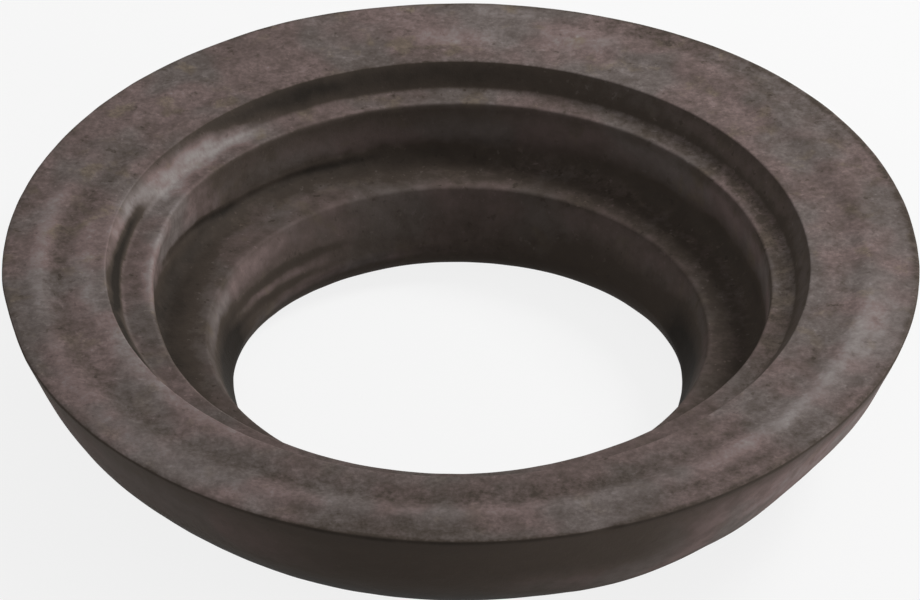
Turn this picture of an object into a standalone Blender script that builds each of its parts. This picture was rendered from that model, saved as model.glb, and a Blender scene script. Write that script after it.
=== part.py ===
"""Toilet gasket: one moulded ring of dense black rubber.

The ring lies on its narrow foot with the wide sealing flange up. Its axis is the
Z axis and the foot rests at z = 0. Inside, two ledges step the wide mouth down to
the bore: a lock nut sits in them, with the flush pipe through the bore. Outside, a
cone and a full belly let the ring wedge into the pan's inlet.

Everything is one closed profile, turned about the axis. All sizes are in metres.
"""

from math import acos, asin, atan2, ceil, cos, pi, radians, sin, sqrt, tan

import bpy
from mathutils import Vector

# Inside widths, measured outwards from the bore.
BORE_DIAMETER = 0.0498
THROAT_SPREAD = 0.00285
LOWER_LEDGE_WIDTH = 0.00605
POCKET_DRAFT = 0.0008
UPPER_LEDGE_WIDTH = 0.0026
RECESS_SPREAD = 0.00175
FLANGE_WIDTH = 0.01185

# Inside heights, measured upwards from the foot.
LIP_HEIGHT = 0.0042
THROAT_HEIGHT = 0.00635
POCKET_DEPTH = 0.0067
RECESS_DEPTH = 0.00275

# Outside of the ring.
CONE_ANGLE = radians(22.6)
BELLY_RADIUS = 0.0238
FOOT_WIDTH = 0.0013

# Raised sealing bead on the flange.
BEAD_INSET = 0.0047
BEAD_WIDTH = 0.0040
BEAD_HEIGHT = 0.00025

# Rounded edges and hollow corners.
FLANGE_EDGE_ROUND = 0.0004
MOUTH_ROUND = 0.0005
RECESS_COVE = 0.0008
UPPER_LEDGE_ROUND = 0.0005
POCKET_COVE = 0.0023
LOWER_LEDGE_ROUND = 0.0006

# How finely the ring is faceted.
RING_SEGMENTS = 96
CHORD_ERROR = 0.00003

RUBBER_COLOUR = (0.075, 0.062, 0.056, 1.0)
RUBBER_ROUGHNESS = 0.72


def arc(centre, radius, start, end):
    """Points on an arc about centre, from the angle start to the angle end."""
    widest_step = 2 * acos(max(0.0, 1 - CHORD_ERROR / radius))
    steps = max(1, ceil(abs(end - start) / widest_step))
    angles = [start + (end - start) * i / steps for i in range(steps + 1)]
    return [centre + radius * Vector((cos(a), sin(a))) for a in angles]


def rounded_corner(before, corner, after, radius):
    """The corner as an arc that touches both of its sides.

    A round that is too big for its sides shrinks to what half of the shorter one
    holds, so that the next corner keeps its own half.
    """
    to_before = before - corner
    to_after = after - corner
    half_angle = to_before.angle(to_after) / 2
    room = min(to_before.length, to_after.length) / 2
    radius = min(radius, room * tan(half_angle))
    middle = (to_before.normalized() + to_after.normalized()).normalized()
    centre = corner + middle * (radius / sin(half_angle))
    first = corner + to_before.normalized() * (radius / tan(half_angle)) - centre
    last = corner + to_after.normalized() * (radius / tan(half_angle)) - centre
    start = atan2(first.y, first.x)
    turn = -first.angle_signed(last)
    return arc(centre, radius, start, start + turn)


def belly(cone_top, foot_edge):
    """The belly's arc, from where the cone runs into it down to the foot's edge."""
    down = Vector((-sin(CONE_ANGLE), -cos(CONE_ANGLE)))
    out = Vector((cos(CONE_ANGLE), -sin(CONE_ANGLE)))
    reach = foot_edge - cone_top
    bulge = -reach.dot(out)
    straight = reach.dot(down) - sqrt(bulge * (2 * BELLY_RADIUS - bulge))
    centre = cone_top + down * straight - out * BELLY_RADIUS
    last = foot_edge - centre
    return arc(centre, BELLY_RADIUS, -CONE_ANGLE, atan2(last.y, last.x))


def bead(middle_radius, flange_height):
    """The bead's low arc across the flange, from its inner side to its outer one."""
    radius = (BEAD_WIDTH ** 2 / 4 + BEAD_HEIGHT ** 2) / (2 * BEAD_HEIGHT)
    half_angle = asin(BEAD_WIDTH / 2 / radius)
    centre = Vector((middle_radius, flange_height + BEAD_HEIGHT - radius))
    return arc(centre, radius, pi / 2 + half_angle, pi / 2 - half_angle)


def ring_profile():
    """The ring's closed section as (radius, height) points.

    It runs from the flange's outer edge down the outside, in along the foot and up
    through the bore, pocket and recess to the flange again.
    """
    bore = BORE_DIAMETER / 2
    throat_top = bore + THROAT_SPREAD
    pocket_floor = throat_top + LOWER_LEDGE_WIDTH
    pocket_mouth = pocket_floor + POCKET_DRAFT
    recess_floor = pocket_mouth + UPPER_LEDGE_WIDTH
    mouth = recess_floor + RECESS_SPREAD
    rim = mouth + FLANGE_WIDTH

    lower_ledge = LIP_HEIGHT + THROAT_HEIGHT
    upper_ledge = lower_ledge + POCKET_DEPTH
    flange = upper_ledge + RECESS_DEPTH

    edge_centre = Vector((rim - FLANGE_EDGE_ROUND, flange - FLANGE_EDGE_ROUND))
    edge_arc = arc(edge_centre, FLANGE_EDGE_ROUND, pi / 2, -CONE_ANGLE)
    lip_centre = Vector((bore + LIP_HEIGHT, LIP_HEIGHT))
    lip_arc = arc(lip_centre, LIP_HEIGHT, -pi / 2, -pi)
    foot_edge = Vector((lip_centre.x + FOOT_WIDTH, 0.0))
    belly_arc = belly(edge_arc[-1], foot_edge)
    bead_arc = bead(rim - BEAD_INSET, flange)

    corners = [
        (Vector((throat_top, lower_ledge)), LOWER_LEDGE_ROUND),
        (Vector((pocket_floor, lower_ledge)), POCKET_COVE),
        (Vector((pocket_mouth, upper_ledge)), UPPER_LEDGE_ROUND),
        (Vector((recess_floor, upper_ledge)), RECESS_COVE),
        (Vector((mouth, flange)), MOUTH_ROUND),
    ]
    path = [lip_arc[-1]] + [corner for corner, _ in corners] + [bead_arc[0]]

    profile = edge_arc + belly_arc + lip_arc
    for i, (corner, radius) in enumerate(corners):
        profile += rounded_corner(path[i], corner, path[i + 2], radius)
    return profile + bead_arc


def turned_ring(name, profile, material):
    """One closed ring: the profile turned once about the Z axis."""
    count = len(profile)
    points = [(p.x, 0.0, p.y) for p in profile]
    edges = [(i, (i + 1) % count) for i in range(count)]
    mesh = bpy.data.meshes.new(name)
    mesh.from_pydata(points, edges, [])
    mesh.materials.append(material)

    ring = bpy.data.objects.new(name, mesh)
    bpy.context.scene.collection.objects.link(ring)
    screw = ring.modifiers.new("Turn", "SCREW")
    screw.axis = "Z"
    screw.angle = 2 * pi
    screw.steps = RING_SEGMENTS
    screw.render_steps = RING_SEGMENTS
    screw.use_merge_vertices = True
    screw.merge_threshold = 0.00001
    screw.use_smooth_shade = True
    return ring


def rubber():
    """Dense black rubber with a dry, slightly brown bloom."""
    material = bpy.data.materials.new("rubber")
    material.use_nodes = True
    surface = material.node_tree.nodes["Principled BSDF"]
    surface.inputs["Base Color"].default_value = RUBBER_COLOUR
    surface.inputs["Roughness"].default_value = RUBBER_ROUGHNESS
    surface.inputs["Metallic"].default_value = 0.0
    return material


for old in list(bpy.data.objects):
    bpy.data.objects.remove(old)

turned_ring("gasket", ring_profile(), rubber())
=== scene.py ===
# %% [markdown]
# # A toilet gasket in moulded rubber
#
# The real thing is one ring of dense black rubber. Its wide flange seals under a
# cistern, its stepped mouth holds a lock nut, and its belly wedges into the pan. The
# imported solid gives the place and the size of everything. This lesson puts a finer
# skin over that solid and then gives the rubber its dry, dusty look.

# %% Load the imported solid
from math import acos, atan2, ceil, cos, pi, radians, sin, tan

import bpy
import numpy as np
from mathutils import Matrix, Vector, noise


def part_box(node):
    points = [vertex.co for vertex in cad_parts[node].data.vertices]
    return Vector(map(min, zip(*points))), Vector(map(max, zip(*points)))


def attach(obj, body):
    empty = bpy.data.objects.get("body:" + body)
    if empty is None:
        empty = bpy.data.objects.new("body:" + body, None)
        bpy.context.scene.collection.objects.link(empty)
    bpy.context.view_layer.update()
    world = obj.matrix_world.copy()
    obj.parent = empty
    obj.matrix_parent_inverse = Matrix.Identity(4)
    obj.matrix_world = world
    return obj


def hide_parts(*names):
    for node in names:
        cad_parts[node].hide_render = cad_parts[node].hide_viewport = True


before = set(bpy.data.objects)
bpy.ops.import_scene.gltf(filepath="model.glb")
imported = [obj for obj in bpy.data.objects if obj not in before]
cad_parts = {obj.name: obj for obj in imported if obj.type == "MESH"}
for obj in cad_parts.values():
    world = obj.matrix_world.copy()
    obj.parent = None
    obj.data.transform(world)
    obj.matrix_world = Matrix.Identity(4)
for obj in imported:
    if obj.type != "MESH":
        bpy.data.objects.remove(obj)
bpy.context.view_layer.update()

MM = 0.001
high_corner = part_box("gasket")[1]
RIM = high_corner[0] / MM
CREST = high_corner[2] / MM
print(f"the solid is {2 * RIM:.2f} mm across and {CREST:.2f} mm high")

# %% [markdown]
# ## The section
#
# A moulded ring is the same all the way round, so one drawing of its cut face is
# enough. It could be drawn by hand with a curve, but a list of widths and heights is
# easier to check with a rule. Each number below is one that could be read off the real
# ring, in millimetres: widths run outwards from the bore, heights run up from the foot.

# %% Sizes of the section
BORE_RADIUS = 24.9
THROAT_SPREAD = 2.85
LOWER_LEDGE = 6.05
POCKET_DRAFT = 0.8
UPPER_LEDGE = 2.6
RECESS_SPREAD = 1.75

LIP_HEIGHT = 4.2
THROAT_HEIGHT = 6.35
POCKET_DEPTH = 6.7
RECESS_DEPTH = 2.75

CONE_ANGLE = radians(22.6)
BELLY_RADIUS = 23.8
FOOT_WIDTH = 1.3

THROAT_TOP = BORE_RADIUS + THROAT_SPREAD
POCKET_FLOOR = THROAT_TOP + LOWER_LEDGE
POCKET_MOUTH = POCKET_FLOOR + POCKET_DRAFT
RECESS_FLOOR = POCKET_MOUTH + UPPER_LEDGE
MOUTH = RECESS_FLOOR + RECESS_SPREAD
LOWER_LEVEL = LIP_HEIGHT + THROAT_HEIGHT
UPPER_LEVEL = LOWER_LEVEL + POCKET_DEPTH
FLANGE = UPPER_LEVEL + RECESS_DEPTH
print(f"ledges at {LOWER_LEVEL:.2f} and {UPPER_LEVEL:.2f} mm, flange at {FLANGE:.2f} mm")

# %% [markdown]
# ## Arcs
#
# The section has long round stretches, such as the belly, and small rounds at its
# corners. An arc of points serves for both. Blender could make them from a curve, but
# then it would choose the points, and here the number of points follows from how far
# each flat may stand off the true round.

# %% Helpers that draw arcs
FACET_ERROR = 0.0016
LONGEST_STEP = 0.55


def arc(centre, radius, start, end):
    """Points on an arc, close enough together to look round."""
    widest = 2 * acos(1 - FACET_ERROR / radius)
    steps = max(2, ceil(abs(end - start) / widest))
    angles = [start + (end - start) * i / steps for i in range(steps + 1)]
    return [centre + radius * Vector((cos(a), sin(a))) for a in angles]


def filled_in(points):
    """The same line with extra points, so that no step is longer than the limit."""
    line = []
    for here, there in zip(points, points[1:]):
        pieces = max(1, ceil((there - here).length / LONGEST_STEP))
        line += [here.lerp(there, i / pieces) for i in range(pieces)]
    return line + [points[-1]]


quarter = arc(Vector((0, 0)), 1.0, 0.0, pi / 2)
print(f"a quarter round of 1 mm takes {len(quarter)} points")

# %% [markdown]
# ## The outside: cone, belly and foot
#
# Below its crisp edge the flange thins down as a cone, and the cone runs into a full
# round belly. One arc does it: it starts where it touches the cone's line and ends on
# the foot's outer edge, so the two meet without a kink.

# %% Draw the outside
EDGE_ROUND = 0.35
EDGE_CLEARANCE = 0.012
OUTER_EDGE = RIM - EDGE_CLEARANCE

edge_centre = Vector((OUTER_EDGE - EDGE_ROUND, FLANGE - EDGE_ROUND))
edge = arc(edge_centre, EDGE_ROUND, pi / 2, -CONE_ANGLE)
lip_centre = Vector((BORE_RADIUS + LIP_HEIGHT, LIP_HEIGHT))
foot_edge = Vector((lip_centre.x + FOOT_WIDTH, 0.0))

down = Vector((-sin(CONE_ANGLE), -cos(CONE_ANGLE)))
out = Vector((cos(CONE_ANGLE), -sin(CONE_ANGLE)))
run = foot_edge - edge[-1]
bulge = -run.dot(out)
straight = run.dot(down) - (bulge * (2 * BELLY_RADIUS - bulge)) ** 0.5
belly_centre = edge[-1] + down * straight - out * BELLY_RADIUS
to_foot = foot_edge - belly_centre
belly = arc(belly_centre, BELLY_RADIUS, -CONE_ANGLE, atan2(to_foot.y, to_foot.x))
outside = filled_in(edge + belly)
print(f"outside: {len(outside)} points, cone {straight:.1f} mm long")

# %% [markdown]
# ## Rounds and hollow corners
#
# No edge of a moulding is quite sharp. Bevelling the finished mesh would do, but here
# each corner of the drawing is swapped for an arc that touches both of its sides, so
# that the size of each round can be set by itself.

# %% Round a corner
LOWER_EDGE_ROUND = 0.6
POCKET_COVE = 2.3
UPPER_EDGE_ROUND = 0.5
RECESS_COVE = 0.8
MOUTH_ROUND = 0.35


def rounded_corner(before, corner, after, radius):
    """The corner as an arc that touches the lines to both of its neighbours."""
    to_before = (before - corner).normalized()
    to_after = (after - corner).normalized()
    half_angle = to_before.angle(to_after) / 2
    middle = (to_before + to_after).normalized()
    centre = corner + middle * (radius / sin(half_angle))
    first = corner + to_before * (radius / tan(half_angle)) - centre
    last = corner + to_after * (radius / tan(half_angle)) - centre
    start = atan2(first.y, first.x)
    return arc(centre, radius, start, start - first.angle_signed(last))


print(f"rounds from {MOUTH_ROUND} mm at the mouth to {POCKET_COVE} mm in the pocket")

# %% [markdown]
# ## The inside: lip, throat, two ledges and the mouth
#
# The lip rolls under into the foot. From there each wall leans out a little, as a
# mould needs so that the ring can be pulled off its core, and each ledge is flat, since
# a nut or a washer sits on it.

# %% Draw the inside
lip = arc(lip_centre, LIP_HEIGHT, -pi / 2, -pi)
corners = [
    (Vector((THROAT_TOP, LOWER_LEVEL)), LOWER_EDGE_ROUND),
    (Vector((POCKET_FLOOR, LOWER_LEVEL)), POCKET_COVE),
    (Vector((POCKET_MOUTH, UPPER_LEVEL)), UPPER_EDGE_ROUND),
    (Vector((RECESS_FLOOR, UPPER_LEVEL)), RECESS_COVE),
    (Vector((MOUTH, FLANGE)), MOUTH_ROUND),
]
path = [lip[-1]] + [corner for corner, _ in corners] + [Vector((OUTER_EDGE, FLANGE))]
inside = list(lip)
for i, (corner, radius) in enumerate(corners):
    inside += rounded_corner(path[i], corner, path[i + 2], radius)
inside = filled_in(inside)
print(f"inside: {len(inside)} points")

# %% [markdown]
# ## The flange
#
# A sealing face is seldom plain. A low bead runs round it near the edge and bites
# first when the cistern is bolted down, and the photograph shows a shallow hollow
# beside it. Both are far too low to model by pulling points about, so the flange is
# drawn as a formula: its height for each radius.

# %% Draw the flange
BEAD_MIDDLE, BEAD_REACH, BEAD_HEIGHT = 45.7, 2.4, 0.2
HOLLOW_MIDDLE, HOLLOW_REACH, HOLLOW_DEPTH = 43.0, 2.0, 0.14
FLANGE_POINTS = 34
INNER_MARGIN = 0.6
OUTER_MARGIN = 0.15


def hump(distance, reach):
    """A smooth swelling: 1 in its middle, and 0 from its reach outwards."""
    share = np.clip(1 - (np.asarray(distance) / reach) ** 2, 0, 1)
    return share * share


def flange_height(radius):
    """How high the flange is at a radius."""
    bead = BEAD_HEIGHT * float(hump(radius - BEAD_MIDDLE, BEAD_REACH))
    hollow = HOLLOW_DEPTH * float(hump(radius - HOLLOW_MIDDLE, HOLLOW_REACH))
    return FLANGE + bead - hollow


flange_end = OUTER_EDGE - EDGE_ROUND - OUTER_MARGIN
flange_radii = np.linspace(MOUTH + INNER_MARGIN, flange_end, FLANGE_POINTS)
flange = [Vector((r, flange_height(r))) for r in flange_radii]
section = outside + inside + flange
print(f"section: {len(section)} points")

# %% [markdown]
# ## Turning it, with the faults of a real moulding
#
# The quick way to turn a section is the Screw modifier. It gives a perfect ring, and
# the real one isn't: its mouth sits a little off its rim, its outline wanders by about
# a tenth of a millimetre, and it has dents and creases. So the points are placed by a
# formula instead. For every angle, the section is pressed in and roughened before its
# points are stored. Each point needs to know which way it faces, so that it can be
# pressed straight in.

# %% Place the points
TURNS = 360

profile = np.array([(p.x, p.y) for p in section])
along = np.roll(profile, -1, axis=0) - np.roll(profile, 1, axis=0)
along /= np.linalg.norm(along, axis=1)[:, None]
facing = np.stack([-along[:, 1], along[:, 0]], axis=1)

turn = np.linspace(0, 2 * pi, TURNS, endpoint=False)[:, None]
width = np.repeat(profile[None, :, 0], TURNS, axis=0)
height = np.repeat(profile[None, :, 1], TURNS, axis=0)
is_outside = np.arange(len(section)) < len(outside)
print(f"{width.size} points to place")

# %% [markdown]
# ## Dents and creases
#
# Each fault is one line in a list: where it is round the ring, how far it reaches each
# way, where it is on the section, how wide it is, and how far it moves the skin
# outwards and upwards. Keeping them in a list makes it easy to compare them with the
# real ring one by one. Most keep their height all the way, but a crease in the pocket
# climbs out of its corner towards the left, so a few have a slope as well.

# %% Press the faults in
FAULTS = [
    # name, degrees round, half span, radius, height, reach, move out, move up
    ("crease in the corner of the pocket", 128, 24, 33.55, 11.6, 0.7, 0.2, -0.15),
    ("crease climbing out of the corner", 151, 15, 33.95, 12.5, 0.7, 0.2, -0.1),
    ("mouth rounded over at the left back", 150, 25, 38.9, 19.9, 2.4, 0.35, -0.35),
    ("undercut below the mouth", 197, 22, 38.6, 19.2, 0.75, 0.6, 0.1),
    ("ledge's edge run inwards", 184, 36, 34.6, 16.6, 2.2, -0.95, 0.0),
    ("ledge's edge in at the front right", 304, 34, 34.6, 16.9, 2.0, -0.6, 0.0),
    ("nick in the front edge", 288, 2.4, 50.6, 19.8, 0.9, -0.35, -0.2),
    ("flat on the right belly", 325, 14, 46.0, 10.0, 13.0, -0.5, 0.1),
    ("full belly at the front right", 294, 15, 43.0, 7.0, 9.0, 0.4, -0.1),
    ("flat on the left cone", 230, 16, 47.0, 12.0, 12.0, -0.2, 0.1),
    ("flat on the left edge", 192, 10, 50.4, 19.0, 6.0, -0.25, 0.0),
    ("rim run out at the back right", 40, 34, 50.6, 18.0, 9.0, 0.42, 0.0),
    ("rim run out at the back left", 112, 14, 50.6, 18.0, 9.0, 0.25, 0.0),
    ("bead run out on the left", 207, 60, 45.3, 20.0, 5.0, 1.5, 0.0),
]
FAULT_SLOPES = {
    "crease in the corner of the pocket": 0.02,
    "crease climbing out of the corner": 0.1,
}


def apart(degrees):
    """How far each turn is past an angle, in degrees."""
    return (np.degrees(turn) - degrees + 180) % 360 - 180


moved_out = np.zeros_like(width)
moved_up = np.zeros_like(width)
for name, degrees, half_span, at_radius, at_height, spread, move_out, move_up in FAULTS:
    climb = FAULT_SLOPES.get(name, 0.0) * at_radius * np.radians(apart(degrees))
    distance = np.hypot(width - at_radius, height - at_height - climb)
    share = hump(apart(degrees), half_span) * hump(distance, spread)
    moved_out += move_out * share
    moved_up += move_up * share
print(f"{len(FAULTS)} faults, the deepest {np.hypot(moved_out, moved_up).max():.2f} mm")

# %% [markdown]
# ## A wandering outline
#
# Rubber shrinks as it cools, and never quite evenly. A few slow waves round the
# outside, each with its own count and depth, stand for that. They only ever press the
# skin inwards, so the ring never grows past the size of the solid.

# %% Add the waves
WAVES = [
    # waves in a turn, depth, angle in radians
    (3, 0.03, 2.1),
    (5, 0.02, 4.0),
    (9, 0.012, 1.1),
]
wander = sum(depth * (1 + np.cos(count * turn + angle)) for count, depth, angle in WAVES)
pressed = wander * np.where(is_outside, 1.0, 0.0)[None, :]
print(f"the outline wanders by {np.ptp(wander):.2f} mm")

# %% [markdown]
# ## A lumpy skin
#
# The rubber flows into its mould in lumps that never quite level out. Noise gives
# them: a smooth number for each place, the same on every run. A Displace modifier
# could use it too, but here the lumps are added before the mesh is made, together with
# the other faults.

# %% Add the lumps
LUMP_DEPTH = 0.035
LUMP_SIZE = 4.0
FINER = 2.3
FINER_SHARE = 0.5
BOX_CLEARANCE = 0.01

lumps = np.empty_like(width)
for i in range(TURNS):
    c, s = cos(turn[i, 0]), sin(turn[i, 0])
    for j, (r, h) in enumerate(profile):
        spot = Vector((r * c, r * s, h)) / LUMP_SIZE
        lumps[i, j] = noise.noise(spot) + FINER_SHARE * noise.noise(FINER * spot)
pressed += LUMP_DEPTH * (1 + np.clip(lumps, -1, 1))

width = width + moved_out - pressed * facing[None, :, 0]
height = height + moved_up - pressed * facing[None, :, 1]
height = np.clip(height, 0.0, CREST - BOX_CLEARANCE)
print(f"pressed in by {pressed.mean():.3f} mm on average")

# %% [markdown]
# ## A mouth off its centre
#
# The core of the mould sat a little to one side, so the mouth has a centre of its own.
# Moving the whole inside would tear it from the rim. The flange takes up the
# difference instead: the shift is full inside the mouth and fades to nothing at the
# rim, and below, the foot does the same.

# %% Shift the mouth
MOUTH_OFFSET = 0.29
FOOT_BLEND = 1.5

fade = np.clip((profile[:, 0] - MOUTH) / (OUTER_EDGE - MOUTH), 0, 1)
shift = MOUTH_OFFSET * np.where(is_outside, 0.0, 1 - fade)
foot_part = is_outside & (profile[:, 1] < FOOT_BLEND)
shift = np.where(foot_part, MOUTH_OFFSET * (1 - profile[:, 1] / FOOT_BLEND), shift)

points = np.stack(
    [width * np.cos(turn) - shift[None, :], width * np.sin(turn), height], axis=2
).reshape(-1, 3) * MM
box_reach = (RIM - BOX_CLEARANCE) * MM
points[:, :2] = np.clip(points[:, :2], -box_reach, box_reach)
print(f"the mouth sits {MOUTH_OFFSET} mm to the left of the rim")

# %% [markdown]
# ## Store the mesh
#
# Four neighbouring points make each face: two on one turn and two on the next. The
# last turn joins the first, and the section's last point joins its first, so the skin
# closes on itself. Smooth shading hides what is left of the flats.

# %% Make the ring
index = np.arange(points.shape[0]).reshape(TURNS, len(section))
next_turn = np.roll(index, -1, axis=0)
faces = np.stack(
    [index, np.roll(index, -1, axis=1), np.roll(next_turn, -1, axis=1), next_turn], axis=2
).reshape(-1, 4)

mesh = bpy.data.meshes.new("moulded_ring")
mesh.from_pydata(points.tolist(), [], faces.tolist())
mesh.polygons.foreach_set("use_smooth", [True] * len(mesh.polygons))
mesh.update()
ring = bpy.data.objects.new("moulded_ring", mesh)
bpy.context.scene.collection.objects.link(ring)
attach(ring, "root")
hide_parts("gasket")
print(f"moulded_ring: {2 * len(faces)} triangles")

# %% [markdown]
# ## The rubber's finish
#
# Black rubber is a very dark warm brown. As it ages, wax and talc come up as a
# pinkish grey bloom on the faces that look up, and handling rubs it off the edges. One
# colour can't show that, and a painted picture would fit this one ring only. Nodes work
# from place and direction, so they can say the same thing in words: dust where the
# face looks up, scuffs where it was rubbed, painted shade in the deep corners and
# creases, and painted highlights and painted light on some edges and sides.
#
# A few helpers first. Each puts one node on the board in hand and wires it up.

# %% Helpers that place nodes
rubber = bpy.data.materials.new("dusty_rubber")
rubber.use_nodes = True
board = rubber.node_tree
skin = board.nodes["Principled BSDF"]
ring.data.materials.append(rubber)


def wired(kind, sockets=None, **choices):
    """One node, with its choices made, its values set and its wires joined."""
    node = board.nodes.new(kind)
    for name, choice in choices.items():
        setattr(node, name, choice)
    for name, value in (sockets or {}).items():
        if isinstance(value, bpy.types.NodeSocket):
            board.links.new(value, node.inputs[name])
        else:
            node.inputs[name].default_value = value
    return node


def worked_out(operation, first, second=0.0):
    """The result of one sum."""
    node = wired("ShaderNodeMath", {0: first, 1: second}, operation=operation)
    return node.outputs[0]


def times(first, second):
    """Two shares multiplied."""
    return worked_out("MULTIPLY", first, second)


def plus(first, second):
    """Two shares added."""
    return worked_out("ADD", first, second)


def between(value, low, high, least=0.0, most=1.0):
    """A soft step: least up to low, most from high onwards."""
    limits = {"From Min": low, "From Max": high, "To Min": least, "To Max": most}
    node = wired("ShaderNodeMapRange", {"Value": value, **limits}, interpolation_type="SMOOTHSTEP")
    return node.outputs[0]


print(f"{ring.name} wears {rubber.name}")

# %% [markdown]
# ## Measure where each point of the skin is
#
# Object coordinates are in metres. In millimetres they are easier to think in, and
# a radius and a height together say where a point is on the section. The mouth has a
# centre of its own, so the radius is counted from there.

# %% Place, radius, height and direction
whereabouts = wired("ShaderNodeTexCoord")
to_mm = {0: whereabouts.outputs["Object"], "Scale": 1 / MM}
in_mm = wired("ShaderNodeVectorMath", to_mm, operation="SCALE").outputs[0]
sideways, backwards, level = wired("ShaderNodeSeparateXYZ", {0: in_mm}).outputs
sideways = plus(sideways, MOUTH_OFFSET)
square = plus(times(sideways, sideways), times(backwards, backwards))
from_axis = worked_out("SQRT", square)
on_section = wired("ShaderNodeCombineXYZ", {0: from_axis, 1: level}).outputs[0]
upward = wired("ShaderNodeSeparateXYZ", {0: whereabouts.outputs["Normal"]}).outputs[2]
print(f"{len(board.nodes)} nodes measure the place")

# %% [markdown]
# ## Masks and clouds
#
# Every mark on the ring is a stretch of a circle round it. One mask says how near a
# point is to that circle, another how near it is to an angle, and the two multiplied
# pick the stretch. Clouds of noise then keep anything from looking ruled.

# %% Helpers that pick a place


def near_ring(at_radius, at_height, reach, spot):
    """1 on a circle round the ring, fading to 0 at its reach."""
    ends = {0: spot, 1: (at_radius, at_height, 0)}
    node = wired("ShaderNodeVectorMath", ends, operation="DISTANCE")
    return between(node.outputs["Value"], reach, 0.0)


def near_angle(degrees, half_span, level_span=0):
    """1 within level_span of an angle round the ring, fading to 0 at half_span from it."""
    a = radians(degrees)
    direction = {0: in_mm, 1: (cos(a), sin(a), 0)}
    node = wired("ShaderNodeVectorMath", direction, operation="DOT_PRODUCT")
    share = worked_out("DIVIDE", node.outputs["Value"], from_axis)
    return between(share, cos(radians(half_span)), cos(radians(level_span)))


def cloud(size, detail=3.0, roughness=0.55):
    """Clouds whose billows are about size millimetres across."""
    looks = {"Scale": 1.0 / size, "Detail": detail, "Roughness": roughness}
    return wired("ShaderNodeTexNoise", {"Vector": in_mm, **looks}).outputs[0]


def uneven(size, amount):
    """A factor about 1 that wanders by amount, in clouds of about size millimetres."""
    return between(cloud(size, 3.0, 0.6), 0.3, 0.7, 1 - amount, 1 + amount)


print("masks by radius, height and angle are ready")

# %% [markdown]
# ## One number for dust and painted light
#
# The rubber's colours lie on one scale, so one number at each point says which of them
# shows: -1 is grime and painted shade in creases and corners, 0 is bare rubber, 1 is a
# full bloom and 2 is chalk and painted highlights. Dust settles from above, so the
# number starts from the way a face looks. Low down there is less of it, and towards the
# foot painted shade takes the number below bare rubber. Clouds of four sizes then break
# it up.

# %% Lay the dust
FLANGE_DUST = 0.62
DEEP_DUST = 0.15
LOW_PAINTED_SHADE = -0.1
DUST_CLOUDS = [(9.0, 0.15), (3.2, 0.17), (1.3, 0.25), (0.5, 0.26)]

settled = between(upward, 0.5, 0.97)
sheltered = between(level, 10.0, 21.0, DEEP_DUST, FLANGE_DUST)
dust_and_painted_light = times(settled, sheltered)
for size, amount in DUST_CLOUDS:
    dust_and_painted_light = times(dust_and_painted_light, uneven(size, amount))
# Painted shade low down: the number drops under bare rubber towards the foot.
dust_and_painted_light = plus(dust_and_painted_light, between(level, 12.0, 3.0, 0.0, LOW_PAINTED_SHADE))
print(f"dust laid, broken up by {len(DUST_CLOUDS)} clouds")

# %% [markdown]
# ## Mottling and specks
#
# Close up, the bloom is mottled and full of specks: crumbs of talc, and pinholes where
# it has flaked off. The tips of two fine clouds make them, one paler and one darker.
# They show most on faces that look up, and least at the front, where hands have
# smoothed the bloom.

# %% Mottle the dust
MOTTLE = 0.16
SPECK = 0.3
STEEP_SHARE = 0.3
FRONT_SHARE = 0.48

mottling = between(cloud(1.7, 4.0, 0.65), 0.25, 0.75, -MOTTLE, MOTTLE)
mottling = plus(mottling, between(cloud(0.8, 2.0), 0.65, 0.72, 0.0, SPECK))
mottling = plus(mottling, between(cloud(1.15, 2.0), 0.65, 0.72, 0.0, -SPECK))
mottling = times(mottling, between(upward, 0.2, 0.9, STEEP_SHARE, 1.0))
mottling = times(mottling, between(backwards, -44.0, -18.0, FRONT_SHARE, 1.0))
dust_and_painted_light = plus(dust_and_painted_light, mottling)
print(f"mottled by {MOTTLE}, specks of {SPECK}")

# %% [markdown]
# ## The bead and the hollow
#
# The bead stands up, so it is rubbed pale, and the hollow inside it holds grime. On the
# left the bead runs out towards the rim, and the finish has to follow the shape: the
# radius is counted from where the bead really is. At the back the bloom hides both.

# %% Rub the bead and fill the hollow
BEAD_RUN_OUT = 1.5
BEAD_DUST = 0.2
HOLLOW_DUST = -0.21

on_flange = between(level, 18.8, 19.5)
front_and_left = worked_out("SUBTRACT", 1.0, near_angle(75, 98, 62))
run_out = times(near_angle(207, 48), BEAD_RUN_OUT)
from_bead = worked_out("SUBTRACT", worked_out("SUBTRACT", from_axis, run_out), BEAD_MIDDLE)
from_hollow = plus(from_bead, BEAD_MIDDLE - HOLLOW_MIDDLE)
bead_share = between(worked_out("ABSOLUTE", from_bead), 1.5, 0.0)
hollow_share = between(worked_out("ABSOLUTE", from_hollow), 2.0, 0.2)
for share, amount in [(bead_share, BEAD_DUST), (hollow_share, HOLLOW_DUST)]:
    share = times(times(share, front_and_left), on_flange)
    dust_and_painted_light = plus(dust_and_painted_light, times(share, times(uneven(2.4, 0.5), amount)))
print(f"bead {BEAD_DUST:+}, hollow {HOLLOW_DUST:+}")

# %% [markdown]
# ## Marks, one by one
#
# Everything else is a mark at one place: pale scuffs where it was rubbed and edges worn
# dull, but also painted highlights on rounded edges and in one corner, painted shade in
# corners, creases and under the mouth, and painted light on faces that the side lamps
# would brighten. Each is a line in a list, as the dents were: where it is round the
# ring, how far it reaches each way, where it is on the section, how far it reaches
# there, how much it adds to or takes from the number for dust and painted light, and
# how patchy it is.
#
# A drift of noise pushes each mark about, so that its edges are ragged. Narrow marks
# get less of it, or they would break up. A few lines in the bore and the pocket climb
# as they go round, so their height is counted from a tilted plane.

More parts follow.
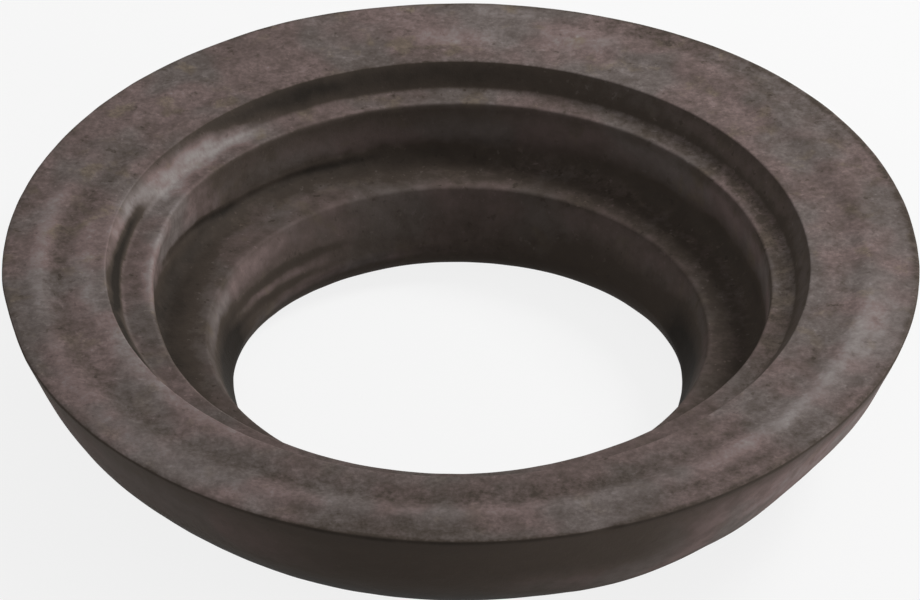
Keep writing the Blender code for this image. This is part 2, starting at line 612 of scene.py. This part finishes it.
# %% Helpers that put marks on
RAGGED = 0.6
NARROW = 1.5
NARROW_SHARE = 0.4
MARK_SLOPES = {
    # The crease's two lines of painted shade climb as they go round.
    "painted shade in the crease": 0.02,
    "painted shade where the crease climbs": 0.1,
    "pale line in the bore": 0.08,
    "dark line above it": 0.05,
    "dark line below it": 0.08,
}
drift = between(cloud(4.0), 0.25, 0.75, -RAGGED / 2, RAGGED / 2)
patches = cloud(2.2, 4.0, 0.6)


def ragged(spot, share=1.0):
    """The place on the section, moved about by a share of the drift."""
    moved = {0: spot, 1: times(drift, share)}
    return wired("ShaderNodeVectorMath", moved, operation="ADD").outputs[0]


def climbing(degrees, slope):
    """The place on the section, its height counted from a plane tilted by a slope."""
    a = radians(degrees)
    tilt = {0: in_mm, 1: (slope * sin(a), -slope * cos(a), 1.0)}
    node = wired("ShaderNodeVectorMath", tilt, operation="DOT_PRODUCT")
    spot = wired("ShaderNodeCombineXYZ", {0: from_axis, 1: node.outputs["Value"]})
    return spot.outputs[0]


ragged_spot = ragged(on_section)
crisp_spot = ragged(on_section, NARROW_SHARE)


def marked(dust_and_painted_light, marks):
    """The number for dust and painted light, with a list of marks put on it."""
    for name, degrees, half_span, at_radius, at_height, reach, amount, patchiness in marks:
        spot = ragged_spot if reach > NARROW else crisp_spot
        if name in MARK_SLOPES:
            spot = ragged(climbing(degrees, MARK_SLOPES[name]), NARROW_SHARE)
        share = near_ring(at_radius, at_height, reach, spot)
        if degrees is not None:
            share = times(share, near_angle(degrees, half_span))
        least, most = amount * (1 - patchiness), amount * (1 + patchiness)
        dust_and_painted_light = plus(dust_and_painted_light, times(share, between(patches, 0.3, 0.7, least, most)))
    print(f"{len(marks)} marks")
    return dust_and_painted_light


# %% [markdown]
# ## Marks on the flange
#
# The flange has been handled, stacked and wiped. Its outer edge is worn dull, and chalk
# has rubbed off on it at the back and along the bead. Its bloom is thinner in front than
# elsewhere and painted shade darkens it there, and at the back a painted sheen lies
# over the bloom.

# %% Mark the flange
FLANGE_MARKS = [
    # name, degrees round, half span, radius, height, reach, dust and painted light, patchiness
    ("pale scuff at the back", 72, 9, 45.2, 20.0, 2.8, 0.5, 0.5),
    ("pale scuff near the back edge", 83, 7, 48.6, 20.0, 1.8, 0.45, 0.5),
    ("pale scuff inside the back", 90, 8, 43.9, 20.0, 2.2, 0.4, 0.5),
    # Partly bloom, partly a painted sheen towards the back.
    ("bloom at the back", 84, 40, 44.0, 20.0, 6.0, 0.12, 0.2),
    ("dull band behind the mouth", 98, 14, 41.0, 20.0, 2.0, -0.25, 0.3),
    ("dull edge at the back", 62, 12, 49.6, 20.0, 2.0, -0.2, 0.3),
    ("dull edge at the back right", 48, 32, 48.6, 20.0, 2.2, -0.25, 0.3),
    ("dull spot at the left back", 158, 9, 42.2, 20.0, 2.0, -0.1, 0.3),
    ("pale band left of the mouth", 180, 14, 41.2, 20.0, 2.6, 0.4, 0.3),
    ("pale band in front of it", 214, 26, 40.0, 20.0, 1.8, 0.45, 0.3),
    ("bead pale on the left", 176, 17, 46.1, 20.0, 1.8, 0.5, 0.3),
    ("pale outside the bead on the left", 224, 26, 47.9, 20.0, 1.9, 0.35, 0.3),
    ("wiped left edge", 185, 40, 49.8, 20.0, 2.0, -0.12, 0.3),
    # Partly thinner bloom, partly painted shade towards the front.
    ("thin bloom in front", 266, 46, 42.0, 20.0, 4.8, -0.2, 0.3),
    ("wiped front edge", 262, 18, 49.0, 20.0, 3.2, -0.35, 0.2),
    ("bead pale on the right", 333, 30, 45.6, 20.0, 1.6, 0.28, 0.4),
    ("pale edge at the right", 344, 18, 47.3, 20.0, 2.6, 0.2, 0.4),
    ("dull edge at the front right", 320, 26, 49.0, 20.0, 2.6, -0.5, 0.3),
    ("dull outside the bead at the front right", 309, 22, 47.7, 20.0, 1.7, -0.3, 0.3),
    ("dull spot on the right", 45, 9, 46.1, 20.0, 2.0, -0.3, 0.3),
    ("rim's edge worn dark", None, None, RIM, FLANGE, 0.9, -0.55, 0.2),
]
dust_and_painted_light = marked(dust_and_painted_light, FLANGE_MARKS)

# %% [markdown]
# ## Marks on the mouth and the upper ledge
#
# A painted highlight fills the corner of the upper ledge at the left back, where the mouth
# is rounded over. Left of it the mouth is undercut, and painted shade darkens the cut and
# the corner beside the highlight. The edges that stand out carry painted highlights. The
# recess wall carries painted shade at the back and painted light at the right, and the
# upper ledge carries a painted shadow at the right.

# %% Mark the mouth
MOUTH_MARKS = [
    # name, degrees round, half span, radius, height, reach, dust and painted light, patchiness
    # Painted highlights where the mouth's rounded edge faces the lamps.
    ("mouth's edge pale on the left", 174, 16, 38.8, 19.5, 1.3, 0.6, 0.3),
    ("mouth's edge pale in front", 215, 26, 39.2, 20.0, 1.0, 0.4, 0.3),
    # Painted shade under the undercut mouth and in the corner below it.
    ("grime under the mouth", 196, 22, 38.3, 18.8, 1.7, -1.1, 0.1),
    ("grime in the corner by the chalk", 174, 17, 37.75, 18.1, 1.1, -1.5, 0.1),
    # A painted highlight: the glint of the key lamp in the corner of the upper ledge.
    ("chalk by the mouth", 162, 11, 38.2, 18.7, 1.7, 0.85, 0.3),
    ("chalk up the wall", 153, 10, 38.1, 18.6, 1.8, 0.35, 0.3),
    ("chalk in the corner of the upper ledge", 143, 17, 37.3, 17.7, 2.0, 1.45, 0.35),
    ("chalk trailing off", 128, 22, 36.8, 17.4, 2.2, 0.3, 0.4),
    # Painted shade on the recess wall at the back, painted light on it at the right.
    ("recess wall at the left back", 124, 17, 38.4, 19.1, 1.8, -0.4, 0.1),
    ("recess wall at the back", 102, 34, 38.1, 18.7, 2.4, -0.6, 0.1),
    ("recess wall at the right", 20, 56, 38.1, 18.7, 2.2, 0.2, 0.1),
    # A painted shadow across the right of the upper ledge.
    ("upper ledge kept clean at the right", 17, 74, 36.0, 17.3, 2.7, -0.5, 0.1),
    # Painted highlights on the upper ledge's rounded edge.
    ("upper edge rubbed pale", 70, 105, 34.7, 17.1, 0.8, 0.14, 0.3),
    ("ledge's edge pale on the left", 173, 17, 34.1, 17.0, 1.2, 0.8, 0.3),
]
dust_and_painted_light = marked(dust_and_painted_light, MOUTH_MARKS)

# %% [markdown]
# ## Marks in the pocket and on the lower ledge
#
# The pocket's wall catches a little dust, and painted light brightens it at the right and
# along its top at the left. Its hollow corner is painted dark as shade, and the crease,
# a fold in the rubber, is painted darkest of all. The lower ledge is dusty at the left
# back and clean elsewhere, and at the right it carries a painted shadow.

# %% Mark the pocket
POCKET_MARKS = [
    # name, degrees round, half span, radius, height, reach, dust and painted light, patchiness
    # Painted light on the pocket wall at the right.
    ("pocket wall at the right", 20, 80, 34.4, 15.2, 4.0, 0.5, 0.2),
    ("pocket wall at the back", 98, 36, 34.2, 13.4, 3.4, 0.36, 0.2),
    ("pocket wall at the left back", 136, 26, 34.2, 14.0, 3.2, 0.2, 0.5),
    # Painted light on the top of the pocket wall at the left.
    ("smear on the left pocket wall", 161, 19, 34.4, 15.8, 2.9, 0.68, 0.4),
    ("smear trailing off below it", 158, 19, 34.0, 13.3, 2.2, 0.5, 0.4),
    # Painted shade in the crease and the hollow corner.
    ("painted shade in the crease", 128, 25, 33.55, 11.6, 0.8, -0.8, 0.1),
    ("painted shade where the crease climbs", 151, 15, 33.95, 12.5, 0.8, -0.9, 0.1),
    ("grime in the right corner", 10, 62, 33.1, 11.5, 2.0, -0.4, 0.1),
    ("grime in the back corner", 104, 32, 32.8, 11.4, 2.4, -0.5, 0.1),
    ("grime in the left corner", 176, 42, 32.6, 11.4, 3.0, -0.8, 0.1),
    ("grime on the lower ledge", 180, 27, 30.6, 10.6, 2.8, -0.25, 0.2),
    ("dust on the lower ledge", 131, 26, 30.7, 10.7, 2.8, 0.26, 0.5),
    # A painted shadow across the right of the lower ledge.
    ("lower ledge kept clean at the right", 10, 68, 30.4, 10.6, 2.8, -0.15, 0.1),
    ("lower ledge kept clean at the back", 88, 40, 30.2, 10.6, 2.6, -0.13, 0.1),
]
dust_and_painted_light = marked(dust_and_painted_light, POCKET_MARKS)

# %% [markdown]
# ## Marks in the bore
#
# The throat is dusty near its top, and lower down at both sides it is painted dark as
# shade. The rounded edge above it carries painted highlights at the left and the back
# and painted shade at the right. At the left back a pale line runs round the throat
# between two dark ones, such as the core of a mould leaves when it is pulled out.

# %% Mark the bore
BORE_MARKS = [
    # name, degrees round, half span, radius, height, reach, dust and painted light, patchiness
    # Painted highlights on the lower ledge's rounded edge, painted shade on it at the right.
    ("lower edge pale at the left", 156, 28, 27.5, 9.2, 1.8, 0.62, 0.3),
    ("lower edge pale at the back", 108, 38, 27.8, 10.3, 1.2, 0.15, 0.3),
    ("lower edge dull at the right", 12, 66, 28.6, 10.5, 1.6, -0.15, 0.1),
    ("dust high in the bore", None, None, 27.3, 8.8, 3.8, 0.3, 0.2),
    ("dust at the back of the bore", 110, 60, 26.2, 5.0, 5.0, 0.24, 0.3),
    ("pale line in the bore", 148, 26, 25.7, 6.1, 0.7, 0.4, 0.3),
    ("dark line above it", 142, 26, 26.0, 6.9, 0.8, -0.45, 0.2),
    ("dark line below it", 148, 24, 25.4, 5.2, 0.6, -0.35, 0.2),
    ("pale line on the lip", 130, 36, 25.1, 3.8, 1.0, 0.45, 0.3),
    # Painted shade low in the bore at both sides.
    ("grime in the bore's right", 0, 30, 26.0, 4.6, 5.6, -1.6, 0.1),
    ("grime in the bore's left", 184, 28, 26.0, 4.6, 5.2, -1.5, 0.1),
]
dust_and_painted_light = marked(dust_and_painted_light, BORE_MARKS)

# %% [markdown]
# ## Marks on the outside
#
# The cone and the belly are the plainest part. Painted light brightens them at the front
# right, the side the right lamp faces, dust clings a little at the left, and painted
# shade darkens the belly in front, where it turns under.

# %% Mark the outside
OUTSIDE_MARKS = [
    # name, degrees round, half span, radius, height, reach, dust and painted light, patchiness
    # Painted light on the cone and belly at the front right.
    ("dusty cone at the right", 331, 39, 48.0, 14.5, 9.0, 1.15, 0.3),
    ("dusty belly at the front right", 296, 27, 45.0, 9.0, 6.0, 0.5, 0.3),
    ("dusty cone at the left", 222, 34, 48.0, 14.5, 7.0, 0.35, 0.2),
    # Painted shade on the belly in front, where it turns under.
    ("dark belly in front", 248, 48, 42.6, 4.8, 8.0, -1.2, 0.1),
]
dust_and_painted_light = marked(dust_and_painted_light, OUTSIDE_MARKS)

# %% [markdown]
# ## The bloom's colours
#
# Bloom isn't one grey. Broad clouds turn it from pinkish to neutral, and ochre dust
# lies over it in places, mostly at the back. Mixing them by noise keeps the change of
# hue apart from the change of depth, as it is on the real ring.

# %% Tint the bloom
PINK_BLOOM = (0.190, 0.140, 0.133, 1)
GREY_BLOOM = (0.168, 0.142, 0.134, 1)
OCHRE_DUST = (0.186, 0.148, 0.110, 1)
OCHRE_SHARE = 0.7
FRONT_OCHRE = 0.3


def tinted(share, first, second):
    """A colour between two others."""
    node = wired("ShaderNodeMix", {0: share, 6: first, 7: second}, data_type="RGBA")
    return node.outputs[2]


bloom_colour = tinted(between(cloud(11.0, 2.0), 0.42, 0.58), PINK_BLOOM, GREY_BLOOM)
ochre = times(between(cloud(4.0), 0.56, 0.7), OCHRE_SHARE)
ochre = times(ochre, between(backwards, -30.0, 5.0, FRONT_OCHRE, 1.0))
bloom_colour = tinted(ochre, bloom_colour, OCHRE_DUST)
print("bloom tinted pink, grey and ochre")

# %% [markdown]
# ## Mix the colours
#
# The number for dust and painted light now picks the colour: each stage of the scale
# fades into the next. A colour ramp would do the same with fixed colours, but the
# bloom's own colour changes from place to place, so three mixes in a row are used. Dust
# is also rougher than bare rubber, and neither shines.

# %% Colour the rubber
# The darkest colour serves grime and painted shade; the palest serves chalk and painted highlights.
GRIME_AND_PAINTED_SHADE = (0.020, 0.0165, 0.0135, 1)
BARE_RUBBER = (0.058, 0.0455, 0.037, 1)
CHALK_AND_PAINTED_HIGHLIGHT = (0.27, 0.245, 0.235, 1)
BARE_ROUGHNESS = 0.68
DUSTY_ROUGHNESS = 0.85
SHINE = 0.05


def stage_of(low, high):
    """How far the number for dust and painted light has come from one stage of the scale to the next.
    """
    node = wired("ShaderNodeMapRange", {"Value": dust_and_painted_light, "From Min": low, "From Max": high})
    return node.outputs[0]


colour = tinted(stage_of(-1.0, 0.0), GRIME_AND_PAINTED_SHADE, BARE_RUBBER)
colour = tinted(stage_of(0.0, 1.0), colour, bloom_colour)
colour = tinted(stage_of(1.0, 2.0), colour, CHALK_AND_PAINTED_HIGHLIGHT)
roughness = between(dust_and_painted_light, -0.5, 1.0, BARE_ROUGHNESS, DUSTY_ROUGHNESS)
board.links.new(colour, skin.inputs["Base Color"])
board.links.new(roughness, skin.inputs["Roughness"])
skin.inputs["Specular IOR Level"].default_value = SHINE
print("colours mixed")

# %% [markdown]
# ## The skin's relief
#
# The mould leaves a faint grain, and the bloom adds crumbs to it. These are too small
# to be worth points in the mesh, so they go in as bump: one soft cloud for the flow of
# the rubber, and one fine one for the grain. Bump distances are in metres.

# %% Add the grain
FLOW_DEPTH = 0.0001
GRAIN_DEPTH = 0.00004

flow = {"Height": cloud(2.4), "Distance": FLOW_DEPTH, "Strength": 0.6}
soft_relief = wired("ShaderNodeBump", flow).outputs[0]
grain = {"Height": cloud(0.45, 4.0, 0.7), "Distance": GRAIN_DEPTH, "Strength": 0.8}
fine_relief = wired("ShaderNodeBump", {**grain, "Normal": soft_relief}).outputs[0]
board.links.new(fine_relief, skin.inputs["Normal"])
print(f"grain added, {len(board.nodes)} nodes in all")

# %% [markdown]
# ## The table
#
# The photograph is a cut-out on white. A pale table keeps a soft shadow, so that the
# ring stands on something. Lamps bright enough to turn it white would flood the ring as
# well, so a mix in the table's material shows the camera, and anything seen in a
# gloss, a white that the lamps don't give.

# %% Lay the table
TABLE_SIZE = 3.0
TABLE_GREY = (0.62, 0.62, 0.62, 1)
TABLE_ROUGHNESS = 0.9
WHITE_SHARE = 0.84


def seen_directly():
    """1 for what the camera sees, straight or in a gloss, and 0 for light falling on."""
    rays = wired("ShaderNodeLightPath").outputs
    seen = worked_out("MAXIMUM", rays["Is Camera Ray"], rays["Is Glossy Ray"])
    return worked_out("MAXIMUM", seen, rays["Is Transmission Ray"])


half = TABLE_SIZE / 2
table_corners = [(-half, -half, 0), (half, -half, 0), (half, half, 0), (-half, half, 0)]
table_mesh = bpy.data.meshes.new("table")
table_mesh.from_pydata(table_corners, [], [(0, 1, 2, 3)])
table = bpy.data.objects.new("table", table_mesh)
bpy.context.scene.collection.objects.link(table)

pale = bpy.data.materials.new("pale_table")
pale.use_nodes = True
board = pale.node_tree
top = board.nodes["Principled BSDF"]
top.inputs["Base Color"].default_value = TABLE_GREY
top.inputs["Roughness"].default_value = TABLE_ROUGHNESS
white = wired("ShaderNodeEmission", {"Strength": 1.0})
white_share = times(seen_directly(), WHITE_SHARE)
shown = wired("ShaderNodeMixShader", {0: white_share, 1: top.outputs[0], 2: white.outputs[0]})
board.links.new(shown.outputs[0], board.nodes["Material Output"].inputs["Surface"])
table.data.materials.append(pale)
print(f"table: {TABLE_SIZE} m square")

# %% [markdown]
# ## The room
#
# A plain world fills the shadows evenly. Its light on the ring is kept low, or nothing
# would have a dark side, while the camera sees a white backdrop: the world's surface
# is mixed in the same way as the table's.

# %% Light the room
WORLD_LIGHT = 0.31
WHITE = (1, 1, 1, 1)

room = bpy.data.worlds.new("pale_room")
bpy.context.scene.world = room
room.use_nodes = True
board = room.node_tree
fill = board.nodes["Background"]
fill.inputs["Color"].default_value = WHITE
fill.inputs["Strength"].default_value = WORLD_LIGHT
backdrop = wired("ShaderNodeBackground", {"Color": WHITE, "Strength": 1.0})
shown = wired("ShaderNodeMixShader", {0: seen_directly(), 1: fill.outputs[0], 2: backdrop.outputs[0]})
board.links.new(shown.outputs[0], board.nodes["World Output"].inputs["Surface"])
print(f"room: fill of {WORLD_LIGHT}")

# %% [markdown]
# ## Three lamps
#
# A lamp above the right, a little to the back, lights the flange and leaves the recess
# dark. A low wide one at the left reaches under the flange there and across the mouth to
# the walls at the right, and a lower one at the right does the same the other way round.
# Square lamps of some size give the soft edges that the photograph has, where a point or
# a sun would cut them hard.

# %% Hang the lamps
LAMPS_LOOK_AT = Vector((0, 0, 0.015))


def softbox(name, degrees, elevation, distance, size, power):
    """A square lamp that looks at the ring from a direction."""
    a, e = radians(degrees), radians(elevation)
    direction = Vector((cos(a) * cos(e), sin(a) * cos(e), sin(e)))
    lamp = bpy.data.lights.new(name, "AREA")
    lamp.shape = "SQUARE"
    lamp.size = size
    lamp.energy = power
    holder = bpy.data.objects.new(name, lamp)
    holder.location = direction * distance + LAMPS_LOOK_AT
    holder.rotation_euler = direction.to_track_quat("Z", "Y").to_euler()
    bpy.context.scene.collection.objects.link(holder)
    print(f"{name}: {power} W from {degrees} degrees, {elevation} degrees up")


softbox("key_lamp", 30, 42, 0.36, 0.12, 1.0)
softbox("left_lamp", 188, 14, 0.6, 0.3, 0.75)
softbox("right_lamp", 340, 7, 0.6, 0.2, 1.5)

# %% [markdown]
# ## The camera
#
# The photograph looks down at the ring from well back: its far side is hardly smaller
# than its near one. A long lens at a distance gives that, and its angle is the one at
# which the ring's circles turn into the ellipses of the photograph. The ring's left
# and right are level, so the camera only tips down.

# %% Place the camera
CAMERA_ELEVATION = radians(36.2)
CAMERA_DISTANCE = 1.391
FOCAL_LENGTH = 491.8
FAR_END = 10.0
LOOK_AT = Vector((-0.00005, 0, 0.01502))

lens = bpy.data.cameras.new("camera")
lens.lens = FOCAL_LENGTH
lens.clip_end = FAR_END
camera = bpy.data.objects.new("camera", lens)
offset = Vector((0, -cos(CAMERA_ELEVATION), sin(CAMERA_ELEVATION)))
camera.location = LOOK_AT + CAMERA_DISTANCE * offset
camera.rotation_euler = (pi / 2 - CAMERA_ELEVATION, 0, 0)
bpy.context.scene.collection.objects.link(camera)
bpy.context.scene.camera = camera
bpy.context.scene.view_settings.view_transform = "Standard"
print(f"camera: {CAMERA_DISTANCE} m away, lens of {FOCAL_LENGTH} mm")
